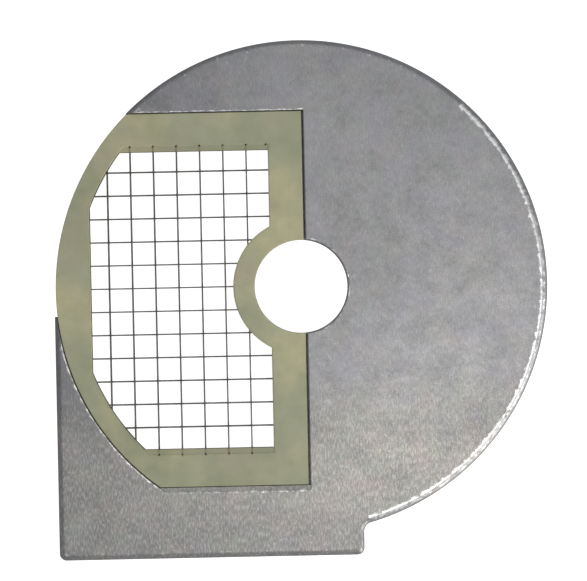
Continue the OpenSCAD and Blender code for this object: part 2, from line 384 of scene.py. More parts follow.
def filled(outlines):
    """Triangles, counterclockwise, that fill the first outline and leave the others open."""
    places, borders = [], []
    for points in outlines:
        first = len(places)
        borders += [(first + k, first + (k + 1) % len(points)) for k in range(len(points))]
        places += points
    triangles, sources = delaunay_2d_cdt(places, borders, [], 1, 1e-9)[2:4]
    triangles = [tuple(sources[corner][0] for corner in triangle) for triangle in triangles]
    beside = {}
    for triangle in triangles:
        for k in range(3):
            beside.setdefault(frozenset((triangle[k - 1], triangle[k])), []).append(triangle)

    # Everything reached from the first border without crossing another one is kept.
    closed = {frozenset(border) for border in borders}
    waiting = list(beside[frozenset(borders[0])])
    kept = set()
    while waiting:
        triangle = waiting.pop()
        if triangle in kept:
            continue
        kept.add(triangle)
        for k in range(3):
            edge = frozenset((triangle[k - 1], triangle[k]))
            if edge not in closed:
                waiting += beside[edge]
    return sorted(kept)


class Shell:
    """A mesh put together from rings and faces that share their edges' points."""

    def __init__(self):
        self.places, self.wears, self.faces, self.stains = [], [], [], []
        self.stain = 0.0  # how stained the faces added from now on are

    def add(self, points):
        """Takes in (place, wear) points and returns their numbers."""
        first = len(self.places)
        self.places += [place for place, wear in points]
        self.wears += [wear for place, wear in points]
        return list(range(first, first + len(points)))

    def wall(self, rings):
        """Faces between neighbouring rings. They point right of the rings' way when these go up."""
        rows = [self.add(points) for points in rings]
        for low, high in zip(rows, rows[1:]):
            for k in range(len(low)):
                n = (k + 1) % len(low)
                self.faces.append((low[k], low[n], high[n], high[k]))
                self.stains.append(self.stain)

    def face(self, outlines, up):
        """A flat face inside the first outline and outside the others."""
        cleaned = []
        for points in outlines:
            kept = [p for i, p in enumerate(points) if (p[0] - points[i - 1][0]).length > 2e-7]
            cleaned.append(kept)
        first = len(self.places)
        for a, b, c in filled([[place.xy for place, wear in points] for points in cleaned]):
            corners = (a, b, c) if up else (a, c, b)
            self.faces.append(tuple(first + corner for corner in corners))
            self.stains.append(self.stain)
        for points in cleaned:
            self.add(points)

    def rise(self, sides, low, face_z, up=True):
        """A wall from a height to a face, softened where it meets the face. Returns its last ring."""
        way = 1 if up else -1
        rings = [ring(sides, low)]
        for depth in depths(sides):
            if depth < abs(face_z - low):
                rings.append(ring(sides, face_z - way * depth, depth))
        rings += [ring(sides, face_z, 0.0, margin) for margin in (0.5, 1.0)]
        if not up:
            rings.reverse()
        self.wall(rings)
        return rings[-1] if up else rings[0]

    def piece(self, name):
        """The finished object: one closed mesh, with its wear and its stains as attributes."""
        mesh = bpy.data.meshes.new(name)
        mesh.from_pydata(self.places, [], self.faces)
        mesh.attributes.new("wear", "FLOAT", "POINT").data.foreach_set("value", self.wears)
        mesh.attributes.new("stain", "FLOAT", "FACE").data.foreach_set("value", self.stains)
        work = bmesh.new()
        work.from_mesh(mesh)
        bmesh.ops.remove_doubles(work, verts=work.verts, dist=MERGED)
        open_edges = [edge for edge in work.edges if len(edge.link_faces) != 2]
        if open_edges:
            place = open_edges[0].verts[0].co
            raise RuntimeError(f"{name} has {len(open_edges)} open edges, the first at {place}")
        work.to_mesh(mesh)
        work.free()
        mesh.shade_smooth()
        mesh.set_sharp_from_angle(angle=math.radians(30))
        return placed(name, mesh)


def reach(radius, across):
    """How far a circle reaches along one axis at a distance along the other."""
    return math.sqrt(radius**2 - across**2)


def trace(sides, z, end=None):
    """The points of some sides at a height, unsoftened, and the end of the last one if it's given."""
    points = []
    for side in sides:
        for place, inward, t in side.points(side.moved(0.0), side.start, side.end):
            points.append((Vector((place.x, place.y, z)), 0.0))
    return points + ([(Vector((end[0], end[1], z)), 0.0)] if end else [])


# ---------------------------------------------------------------- the plate


def build_plate(sizes):
    """The casting: a round plate with a tab, a pocket that breaks out of its rim, and a ledge in it."""
    rim = Edge(sizes.rim_round, power=1.8, wobble=0.03, wear=0.35, fade=1.6 * MM)
    # The rim's right part is marked fully worn so that it carries a painted highlight.
    highlight_rim = Edge(sizes.rim_round, power=1.8, wobble=0.03, wear=1.0, fade=1.8 * MM)
    foot = Edge(sizes.foot_round, wobble=0.04, wear=0.4)
    bore = Edge(sizes.bore_round, power=1.6, wobble=0.10, wear=0.5, fade=0.6 * MM)
    back_edge = Edge(sizes.pocket_round, power=1.6, wobble=0.9, wear=0.8, fade=0.7 * MM)
    round_edge = Edge(sizes.pocket_round, power=1.6, wobble=0.7, wear=0.8, fade=1.2 * MM)
    right_edge = Edge(sizes.right_round, power=1.5, wobble=0.25, wear=0.3, fade=0.7 * MM)
    front_edge = Edge(sizes.front_bevel, sizes.front_bevel_d, power=1.0, wobble=0.06, wear=0.65)
    sharp_edge = Edge(0.3 * MM, wear=0.5)

    rim_r, bore_r = sizes.rim_r, sizes.bore_r
    left, front, right, tip = -sizes.tab_left, -sizes.tab_front, sizes.tab_right, -sizes.tab_tip
    corner, fillet = sizes.corner_r, sizes.fillet_r
    back, near, inner = sizes.pocket_back, -sizes.pocket_front, sizes.pocket_right
    pocket_r = rim_r - sizes.pocket_rim

    fillet_x = right + fillet
    fillet_y = -reach(rim_r + fillet, fillet_x)
    fillet_mid = Vector((fillet_x, fillet_y))
    fillet_end = fillet_mid * rim_r / (rim_r + fillet)
    rim_back = (-reach(rim_r, back), back)
    rim_tip = (-reach(rim_r, tip), tip)
    pocket_tip = (-reach(pocket_r, tip), tip)
    pocket_near = (-reach(pocket_r, near), near)
    bore_y = reach(bore_r, inner)
    middle = (0, 0)

    highlight_end = (rim_r * math.cos(sizes.highlight_to), rim_r * math.sin(sizes.highlight_to))
    highlight_part = Side(fillet_end, highlight_end, highlight_rim, middle)
    rim_part = Side(highlight_end, rim_back, rim, middle)
    back_wall = Side(rim_back, (inner, back), back_edge, spacing=FINE)
    right_back = Side((inner, back), (inner, bore_y), right_edge, spacing=FINE)
    bore_right = Side((inner, bore_y), (inner, -bore_y), bore, middle, clockwise=True, spacing=FINE)
    right_near = Side((inner, -bore_y), (inner, near), right_edge, spacing=FINE)
    front_wall = Side((inner, near), pocket_near, front_edge, spacing=FINE)
    round_wall = Side(pocket_near, pocket_tip, round_edge, middle, clockwise=True, spacing=FINE)
    tip_share = (pocket_tip[0] - rim_tip[0]) / (pocket_tip[0] - left)
    tip_face = Side(pocket_tip, (left, tip), rim, stops=[0, tip_share])
    corner_y, left_x, right_x = front + corner, left + corner, right - corner
    tab_sides = [
        Side((left, tip), (left, corner_y), rim),
        Side((left, corner_y), (left_x, front), rim, (left_x, corner_y), spacing=CLOSE),
        Side((left_x, front), (right_x, front), rim),
        Side((right_x, front), (right, corner_y), rim, (right_x, corner_y), spacing=CLOSE),
        Side((right, corner_y), (right, fillet_y), rim),
        Side((right, fillet_y), fillet_end, rim, fillet_mid, clockwise=True, spacing=CLOSE),
    ]
    pocket_sides = [back_wall, right_back, bore_right, right_near, front_wall, round_wall]
    upper = [highlight_part, rim_part, *pocket_sides, tip_face, *tab_sides]

    open_rim = Side(rim_back, rim_tip, foot, middle)
    tip_foot = Side(rim_tip, (left, tip), foot, stops=[0])
    round_foot = [highlight_part.with_edge(foot), rim_part.with_edge(foot), open_rim]
    lower = [*round_foot, tip_foot, *(side.with_edge(foot) for side in tab_sides)]

    # The ledge leaves a smaller opening under the pocket, which goes round the shaft hole's own ring.
    hole_r, open_r = bore_r + sizes.ledge_w, pocket_r - sizes.ledge_w
    open_right, open_back, open_near = inner - sizes.ledge_w, back - sizes.ledge_w, near + sizes.ledge_w
    hole_y = reach(hole_r, open_right)
    back_left, back_right = (-reach(open_r, open_back), open_back), (open_right, open_back)
    near_left, near_right = (-reach(open_r, open_near), open_near), (open_right, open_near)
    opening = [
        Side(back_left, back_right, sharp_edge),
        Side(back_right, (open_right, hole_y), sharp_edge),
        Side((open_right, hole_y), (open_right, -hole_y), sharp_edge, middle),
        Side((open_right, -hole_y), near_right, sharp_edge),
        Side(near_right, near_left, sharp_edge),
        Side(near_left, back_left, sharp_edge, middle, clockwise=True),
    ]
    bore_left = Side((inner, -bore_y), (inner, bore_y), sharp_edge, middle, clockwise=True, spacing=FINE)
    bore_loop = [bore_right.with_edge(sharp_edge), bore_left]

    shell = Shell()
    ledge = sizes.ledge_t
    shell.face([shell.rise(upper, ledge, sizes.thickness)], up=True)
    outer = shell.rise(lower, ledge, 0.0, up=False)
    window = shell.rise(opening, ledge, 0.0, up=False)
    hole = shell.rise(bore_loop, ledge, 0.0, up=False)
    shell.face([outer, window, hole], up=False)

    # The ledge's top face lies between the pocket's walls, the open rim and the shaft hole.
    to_tip = trace([right_near, front_wall, round_wall], ledge, pocket_tip)[::-1]
    to_bore = trace([back_wall, right_back], ledge, bore_right.start)[::-1]
    around = trace([open_rim], ledge, rim_tip) + to_tip[:-1] + trace([bore_left], ledge) + to_bore[:-1]
    shell.face([around, trace(opening, ledge)], up=True)
    return shell.piece("plate_casting")


# ---------------------------------------------------------------- the insert


def build_insert(sizes, plate):
    """The moulding: a flange on the ledge, a core inside it, a window, its two steps and peep holes."""
    outer_edge = Edge(sizes.edge_round, wobble=0.10, wear=0.35, fade=0.8 * MM)
    # The window's edge carries the highest wear value, so its grime also paints shade along it.
    window_edge = Edge(sizes.window_round, sizes.step_d, power=1.6, wobble=0.15, wear=0.9, fade=0.9 * MM)
    step_edge = Edge(sizes.step_round, sizes.step_d, wear=0.3, fade=0.8 * MM)
    peep_edge = Edge(sizes.step_round, sizes.step_d, wear=0.9, fade=0.6 * MM)
    under_edge = Edge(0.4 * MM, wear=0.3)

    middle = (0, 0)
    radius, back, front, right, top = sizes.radius, sizes.back, -sizes.front, sizes.right, sizes.top
    bore_r = plate.bore_r

    def frame_loop(radius, back, front, right, hole_r, edge):
        """A round-sided outline with a notch of radius hole_r about the shaft."""
        notch = reach(hole_r, right)
        a, b = (-reach(radius, back), back), (-reach(radius, front), front)
        return [
            Side(a, b, edge, middle),
            Side(b, (right, front), edge),
            Side((right, front), (right, -notch), edge),
            Side((right, -notch), (right, notch), edge, middle, clockwise=True, spacing=FINE),
            Side((right, notch), (right, back), edge),
            Side((right, back), a, edge),
        ]

    flange = frame_loop(radius, back, front, right, bore_r, outer_edge)
    step_in = plate.ledge_w + sizes.core_gap
    core = frame_loop(
        plate.rim_r - plate.pocket_rim - step_in,
        plate.pocket_back - step_in,
        -plate.pocket_front + step_in,
        plate.pocket_right - step_in,
        bore_r + step_in,
        under_edge,
    )

    window_r, ring_r = radius - sizes.round_wall, bore_r + sizes.ring_wall
    left = -radius + sizes.left_wall
    near_y, back_y, right_x = front + sizes.front_wall, back - sizes.back_wall, right - sizes.right_wall
    near_step, back_step = near_y - sizes.step_w, back_y + sizes.step_w
    ring_y, left_y = reach(ring_r, right_x), reach(window_r, left)
    back_left, near_left = (-reach(window_r, back_y), back_y), (-reach(window_r, near_y), near_y)

    def on_edge(edge, *ends, **round_side):
        return Side(*ends, edge, spacing=1 * MM, **round_side)

    def window_sides(edge):
        """The sides that the window has at every height: (right and ring), (left)."""
        return (
            [
                on_edge(edge, (right_x, back_y), (right_x, ring_y)),
                on_edge(edge, (right_x, ring_y), (right_x, -ring_y), centre=middle),
                on_edge(edge, (right_x, -ring_y), (right_x, near_y)),
            ],
            [
                on_edge(edge, near_left, (left, -left_y), centre=middle, clockwise=True),
                on_edge(edge, (left, -left_y), (left, left_y)),
                on_edge(edge, (left, left_y), back_left, centre=middle, clockwise=True),
            ],
        )

    def peep_arcs(x, y, way, edge):
        """The two halves of a peep hole, clockwise. The step's wall meets the first one."""
        a, b = (x - way * sizes.peep_r, y), (x + way * sizes.peep_r, y)
        spacing = sizes.peep_r / 2
        return (
            Side(a, b, edge, (x, y), clockwise=True, spacing=spacing),
            Side(b, a, edge, (x, y), clockwise=True, spacing=spacing),
        )

    def step_wall(start, end, xs, y, way):
        """A step's wall with the peep holes' outer halves in it, and the holes."""
        sides, holes, last = [], [], start
        for x in sorted(xs, reverse=way < 0):
            outer, inner = peep_arcs(x, y, way, peep_edge)
            sides += [on_edge(step_edge, last, tuple(outer.start)), outer]
            holes.append((outer, inner))
            last = tuple(outer.end)
        return sides + [on_edge(step_edge, last, end)], holes

    stations = [middle_of(name).x for name in blade_names("long_blade")]
    corner_peep = right_x - 2 * sizes.peep_r
    back_xs = [x for x in stations if reach(window_r, x) > back_y] + [corner_peep]
    near_xs = [x for x in stations if reach(window_r, x) > -near_y]
    back_end, near_end = (-reach(window_r, back_step), back_step), (-reach(window_r, near_step), near_step)
    back_wall, back_holes = step_wall(back_end, (right_x, back_step), back_xs, back_step, 1)
    near_wall, near_holes = step_wall((right_x, near_step), near_end, near_xs, near_step, -1)

    upper_right, upper_left = window_sides(window_edge)
    end_back = on_edge(window_edge, (right_x, back_step), (right_x, back_y))
    end_near = on_edge(window_edge, (right_x, near_y), (right_x, near_step))
    arc_near = on_edge(window_edge, near_end, near_left, centre=middle, clockwise=True)
    arc_back = on_edge(window_edge, back_left, back_end, centre=middle, clockwise=True)
    upper = [*back_wall, end_back, *upper_right, end_near, *near_wall, arc_near, *upper_left, arc_back]

    lower_right, lower_left = window_sides(under_edge)
    back_line = on_edge(under_edge, back_left, (right_x, back_y))
    near_line = on_edge(under_edge, (right_x, near_y), near_left)
    lower = [back_line, *lower_right, near_line, *lower_left]

    shell = Shell()
    seat, floor = plate.ledge_t, top - sizes.step_d
    shell.face([shell.rise(flange, seat, top), shell.rise(upper, floor, top)], up=True)
    shell.face([trace(flange, seat), trace(core, seat)], up=False)
    outer = shell.rise(core, seat, sizes.underside, up=False)
    shell.face([outer, shell.rise(lower, floor, sizes.underside, up=False)], up=False)

    def step_floor(line, first, wall, holes, last):
        """The outline of a step's floor, with the peep holes' inner halves left out of it."""
        inner = {tuple(outer.start): half for outer, half in holes}
        far_side = trace([first], floor)
        for side in wall:
            half = inner.get(tuple(side.start)) if side.centre is not None else None
            far_side += trace([half], floor, half.end)[::-1][:-1] if half else trace([side], floor)
        far_side += trace([last], floor)
        return trace([line], floor, line.end) + far_side[::-1][:-1]

    for line, first, wall, holes, last in (
        (back_line, arc_back, back_wall, back_holes, end_back),
        (near_line, end_near, near_wall, near_holes, arc_near),
    ):
        shell.stain = STEP_STAIN
        shell.face([step_floor(line, first, wall, holes, last)], up=True)
        shell.stain = PEEP_STAIN
        for halves in holes:
            low = trace(halves, top - sizes.peep_d)
            shell.wall([low, trace(halves, floor)])
            shell.face([low], up=True)
    return shell.piece("insert_moulding")


# ---------------------------------------------------------------- node trees


class Graph:
    """Makes a tree's nodes: each call makes one, fills or links its inputs and returns it."""

    def __init__(self, tree):
        self.tree = tree

    def fill(self, socket, value):
        """Links an input to another node's output, or gives it a value of its own."""
        if isinstance(value, bpy.types.NodeSocket):
            self.tree.links.new(value, socket)
        else:
            socket.default_value = value

    def node(self, kind, inputs=(), **settings):
        made = self.tree.nodes.new(kind)
        for name, value in settings.items():
            setattr(made, name, value)
        for key, value in dict(inputs).items():
            self.fill(made.inputs[key], value)
        return made

    def math(self, operation, a, b=0.0, c=0.0):
        return self.node("ShaderNodeMath", {0: a, 1: b, 2: c}, operation=operation).outputs[0]

    def vector(self, operation, a, b):
        return self.node("ShaderNodeVectorMath", {0: a, 1: b}, operation=operation).outputs[0]

    def ramp(self, value, low, high, to_low=0.0, to_high=1.0):
        inputs = {"Value": value, "From Min": low, "From Max": high, "To Min": to_low, "To Max": to_high}
        return self.node("ShaderNodeMapRange", inputs).outputs["Result"]

    def mix(self, share, a, b):
        """A colour between a and b. The node's colour sockets are its inputs 6 and 7 and its output 2."""
        return self.node("ShaderNodeMix", {0: share, 6: a, 7: b}, data_type="RGBA").outputs[2]

    def noise(self, vector, scale, detail=2.0, rough=0.5):
        inputs = {"Vector": vector, "Scale": scale, "Detail": detail, "Roughness": rough}
        return self.node("ShaderNodeTexNoise", inputs).outputs[0]


def new_tree(name, kind, inputs, outputs):
    """A node group with named sockets: (tree, what it is given, what it results in, its graph)."""
    tree = bpy.data.node_groups.new(name, kind)
    for socket_name, socket_type, default in inputs:
        socket = tree.interface.new_socket(socket_name, in_out="INPUT", socket_type=socket_type)
        if default is not None:
            socket.default_value = default
    for socket_name, socket_type in outputs:
        tree.interface.new_socket(socket_name, in_out="OUTPUT", socket_type=socket_type)
    graph = Graph(tree)
    return tree, graph.node("NodeGroupInput").outputs, graph.node("NodeGroupOutput").inputs, graph


# ---------------------------------------------------------------- the blades


def blade_tree():
    """Geometry nodes for one ground blade, notched where it straddles the blades that cross it."""
    number, whole = "NodeSocketFloat", "NodeSocketInt"
    tree, given, result, g = new_tree(
        "Ground blade",
        "GeometryNodeTree",
        [
            ("Geometry", "NodeSocketGeometry", None),
            ("Length", number, 0.1),
            ("Height", number, 0.0075),
            ("Thickness", number, 0.0005),
            ("Bevel height", number, 0.0012),
            ("Edge land", number, 0.0001),
            ("Stations", whole, 60),
            ("Notch width", number, 0.0006),
            ("Notch pitch", number, 0.01),
            ("Notch count", whole, 3),
            ("First notch", number, 0.0),
            ("Notch side", number, LOWER_HALF),
            ("Wander", number, 0.0),
            ("Seed", number, 0.0),
            ("Place", "NodeSocketVector", (0.0, 0.0, 0.0)),
            ("Turn", "NodeSocketVector", (0.0, 0.0, 0.0)),
            ("Material", "NodeSocketMaterial", None),
        ],
        [("Geometry", "NodeSocketGeometry")],
    )
    tree.is_modifier = True

    def join(x, y, z):
        return g.node("ShaderNodeCombineXYZ", {0: x, 1: y, 2: z}).outputs[0]

    def box(size, **counts):
        return g.node("GeometryNodeMeshCube", {"Size": size, **counts}).outputs["Mesh"]

    size = join(given["Thickness"], given["Length"], given["Height"])
    strip = box(size, **{"Vertices Y": given["Stations"], "Vertices Z": 4})
    place = g.node("ShaderNodeSeparateXYZ", {0: g.node("GeometryNodeInputPosition").outputs[0]}).outputs
    share = g.math("ADD", g.math("DIVIDE", place[2], given["Height"]), 0.5)
    body = g.math("SUBTRACT", given["Height"], given["Bevel height"])
    flank = g.ramp(share, 0.0, 2 / 3, 0.0, body)
    bevel = g.ramp(share, 2 / 3, 1.0, 0.0, given["Bevel height"])
    thin = g.math("DIVIDE", given["Edge land"], given["Thickness"])
    narrowing = g.ramp(share, 2 / 3, 1.0, 1.0, thin)
    ground = join(g.math("MULTIPLY", place[0], narrowing), place[1], g.math("ADD", flank, bevel))
    strip = g.node("GeometryNodeSetPosition", {"Geometry": strip, "Position": ground}).outputs[0]

    # Each notch is cut by a block as high as the strip, whose middle the notch side sets: at -1 it is
    # the strip's foot, so the notch is half as high as the strip, and past 2 the block is clear of it.
    raised = g.math("MULTIPLY_ADD", given["Notch side"], 0.5, 0.5)
    middle = g.math("MULTIPLY", given["Height"], raised)
    row = g.node(
        "GeometryNodeMeshLine",
        {
            "Count": given["Notch count"],
            "Start Location": join(0.0, given["First notch"], middle),
            "Offset": join(0.0, given["Notch pitch"], 0.0),
        },
    ).outputs[0]
    wide = g.math("MULTIPLY", given["Thickness"], 3.0)
    tool = box(join(wide, given["Notch width"], given["Height"]))
    tools = g.node("GeometryNodeInstanceOnPoints", {"Points": row, "Instance": tool}).outputs[0]
    tools = g.node("GeometryNodeRealizeInstances", {0: tools}).outputs[0]
    cut = {"Mesh 1": strip, "Mesh 2": tools}
    notched = g.node("GeometryNodeMeshBoolean", cut, operation="DIFFERENCE", solver="EXACT").outputs[0]

    # Rust starts at the notches: the attribute falls from 1 to 0 within an eighth of the pitch.
    along = g.math("SUBTRACT", place[1], given["First notch"])
    apart = g.math("PINGPONG", along, g.math("DIVIDE", given["Notch pitch"], 2.0))
    rust = g.ramp(g.math("DIVIDE", apart, given["Notch pitch"]), 0.03, 0.15, 1.0, 0.0)
    kept = {"Geometry": notched, "Name": "rust", "Value": rust}
    rusted = g.node("GeometryNodeStoreNamedAttribute", kept, data_type="FLOAT", domain="POINT").outputs[0]

    drift = g.noise(join(given["Seed"], g.math("MULTIPLY", place[1], 18.0), 0.0), 1.0)
    aside = g.math("MULTIPLY", g.math("SUBTRACT", drift, 0.5), g.math("MULTIPLY", given["Wander"], 2.0))
    bowed = g.node("GeometryNodeSetPosition", {"Geometry": rusted, "Offset": join(aside, 0.0, 0.0)})
    laid = {"Geometry": bowed.outputs[0], "Translation": given["Place"], "Rotation": given["Turn"]}
    moved = g.node("GeometryNodeTransform", laid)
    whole_mesh = g.node("GeometryNodeRealizeInstances", {0: moved.outputs[0]})
    finished = {"Geometry": whole_mesh.outputs[0], "Material": given["Material"]}
    last = g.node("GeometryNodeSetMaterial", finished)
    tree.links.new(last.outputs[0], result["Geometry"])
    return tree


def made_by_nodes(name, tree, values):
    """The plain mesh object that a geometry node tree makes with the given inputs."""
    maker = placed(name + "_maker", bpy.data.meshes.new(name))
    modifier = maker.modifiers.new("Nodes", "NODES")
    modifier.node_group = tree
    identifiers = {
        item.name: item.identifier
        for item in tree.interface.items_tree
        if item.item_type == "SOCKET" and item.in_out == "INPUT"
    }
    for socket_name, value in values.items():
        modifier[identifiers[socket_name]] = value
    graph = bpy.context.evaluated_depsgraph_get()
    result = bpy.data.meshes.new_from_object(maker.evaluated_get(graph))
    bpy.data.objects.remove(maker)
    result.name = name
    if not result.polygons:
        raise RuntimeError(f"the nodes made nothing for {name}")
    return placed(name, result)


def build_blades(kind, crossing_kind, axis, sizes, material):
    """One piece for each blade of a kind, where the packed model has it, along an axis: 0 is X, 1 is Y.

    The long blades straddle the cross blades, which stay whole.
    """
    tree = bpy.data.node_groups.get("Ground blade") or blade_tree()
    crossing = blade_names(crossing_kind)
    crossings = sorted(middle_of(name)[axis] for name in crossing)
    pitch = (crossings[-1] - crossings[0]) / (len(crossings) - 1)
    aside = 1 - axis
    for number, name in enumerate(blade_names(kind), 1):
        low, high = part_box(name)
        centre = middle_of(name)
        thick = high[aside] - low[aside]
        slot = thick + 2 * sizes.play
        met = sorted(
            middle_of(other)[axis] - centre[axis]
            for other in crossing
            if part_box(other)[0][aside] - slot < centre[aside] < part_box(other)[1][aside] + slot
            and low[axis] - slot < middle_of(other)[axis] < high[axis] + slot
        )
        values = {
            "Length": high[axis] - low[axis],
            "Height": high.z - low.z,
            "Thickness": thick,
            "Bevel height": sizes.bevel_h,
            "Edge land": sizes.land,
            "Stations": max(8, round((high[axis] - low[axis]) / (1.5 * MM))),
            "Notch width": slot,
            "Notch pitch": pitch,
            "Notch count": round((met[-1] - met[0]) / pitch) + 1,
            "First notch": met[0],
            "Notch side": LOWER_HALF if axis == 1 else NO_NOTCH,
            "Wander": sizes.wander,
            "Seed": number * 3.7 + axis * 50,
            "Place": (centre.x, centre.y, low.z),
            "Turn": (0.0, 0.0, 0.0 if axis == 1 else -math.pi / 2),
            "Material": material,
        }
        piece = made_by_nodes(f"{name}_ground", tree, values)
        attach(piece, "insert")
        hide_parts(name)


# ---------------------------------------------------------------- finishes

NUMBER, VECTOR = "NodeSocketFloat", "NodeSocketVector"


def mottle_group():
    """Soft patches: noise between two levels, as a mask."""
    tree, given, result, g = new_tree(
        "Mottle",
        "ShaderNodeTree",
        [
            ("Vector", VECTOR, None),
            ("Scale", NUMBER, 30.0),
            ("Detail", NUMBER, 3.0),
            ("Low", NUMBER, 0.4),
            ("High", NUMBER, 0.6),
            ("Seed", NUMBER, 0.0),
        ],
        [("Mask", NUMBER)],
    )
    inputs = {key: given[key] for key in ("Vector", "Scale", "Detail")} | {"W": given["Seed"]}
    patches = g.node("ShaderNodeTexNoise", inputs, noise_dimensions="4D").outputs[0]
    tree.links.new(g.ramp(patches, given["Low"], given["High"]), result["Mask"])
    return tree


def scratch_group():
    """Fine straight scratches in one direction, turned about Z from the Y axis."""
    tree, given, result, g = new_tree(
        "Scratches",
        "ShaderNodeTree",
        [
            ("Vector", VECTOR, None),
            ("Turn", NUMBER, 0.0),
            ("Scale", NUMBER, 1500.0),
            ("Stretch", NUMBER, 20.0),
            ("Low", NUMBER, 0.6),
            ("High", NUMBER, 0.75),
        ],
        [("Mask", NUMBER)],
    )
    turned = {"Vector": given["Vector"], "Angle": given["Turn"]}
    turned = g.node("ShaderNodeVectorRotate", turned, rotation_type="Z_AXIS").outputs[0]
    share = g.math("DIVIDE", 1.0, given["Stretch"])
    squeeze = g.node("ShaderNodeCombineXYZ", {0: 1.0, 1: share, 2: 1.0}).outputs[0]
    lines = g.noise(g.vector("MULTIPLY", turned, squeeze), given["Scale"], 1.0)
    tree.links.new(g.ramp(lines, given["Low"], given["High"]), result["Mask"])
    return tree


def wear_group():
    """Broken-up wear along the edges that a wear value marks. It also paints the highlight on the plate's
    right rim and the shade along the insert's window.
    """
    tree, given, result, g = new_tree(
        "Edge wear",
        "ShaderNodeTree",
        [
            ("Wear", NUMBER, 0.0),
            ("Vector", VECTOR, None),
            ("Scale", NUMBER, 600.0),
            ("Spread", NUMBER, 1.0),
            ("Breaking", NUMBER, 1.2),
        ],
        [("Mask", NUMBER)],
    )
    broken = g.math("SUBTRACT", g.noise(given["Vector"], given["Scale"], 3.0), 0.5)
    value = g.math("MULTIPLY", given["Wear"], given["Spread"])
    value = g.math("MULTIPLY_ADD", broken, given["Breaking"], value)
    tree.links.new(g.ramp(value, 0.45, 0.85), result["Mask"])
    return tree


def speck_group():
    """Small uneven specks. The rarer they are, the smaller."""
    tree, given, result, g = new_tree(
        "Specks",
        "ShaderNodeTree",
        [
            ("Vector", VECTOR, None),
            ("Scale", NUMBER, 600.0),
            ("Rarity", NUMBER, 0.7),
        ],
        [("Mask", NUMBER)],
    )
    field = g.noise(given["Vector"], given["Scale"], 1.0, 0.6)
    full = g.math("ADD", given["Rarity"], 0.06)
    tree.links.new(g.ramp(field, given["Rarity"], full), result["Mask"])
    return tree


SHARED_GROUPS = {
    "Mottle": mottle_group,
    "Scratches": scratch_group,
    "Edge wear": wear_group,
    "Specks": speck_group,
}


def rgb(values):
    """A setting's colour as a socket takes it."""
    return (*values, 1.0)


class Finish(Graph):
    """A material's graph, with the shared groups and the coordinates that all finishes read."""

    def __init__(self, name):
        self.material = bpy.data.materials.new(name)
        self.material.use_nodes = True
        super().__init__(self.material.node_tree)
        self.shader = self.tree.nodes["Principled BSDF"]
        self.place = self.node("ShaderNodeTexCoord").outputs["Object"]

    def shared(self, name, **values):
        """A shared group's mask. Its inputs are named by keywords in lower case."""
        tree = bpy.data.node_groups.get(name) or SHARED_GROUPS[name]()
        inputs = {"Vector": self.place} | {key.capitalize(): value for key, value in values.items()}
        return self.node("ShaderNodeGroup", inputs, node_tree=tree).outputs["Mask"]

    def axes(self):
        """The place's X, Y and Z."""
        return self.node("ShaderNodeSeparateXYZ", {0: self.place}).outputs

    def attribute(self, name):
        """A value that the piece's mesh carries."""
        return self.node("ShaderNodeAttribute", attribute_name=name).outputs["Fac"]

    def set(self, **values):
        """Sets or links the shader's inputs. Underscores stand for spaces."""
        for key, value in values.items():
            self.fill(self.shader.inputs[key.replace("_", " ")], value)

    def bump(self, height, distance, strength):
        """Relief of a depth in metres, from a height between 0 and 1."""
        inputs = {"Height": height, "Distance": distance, "Strength": strength}
        self.set(Normal=self.node("ShaderNodeBump", inputs).outputs[0])


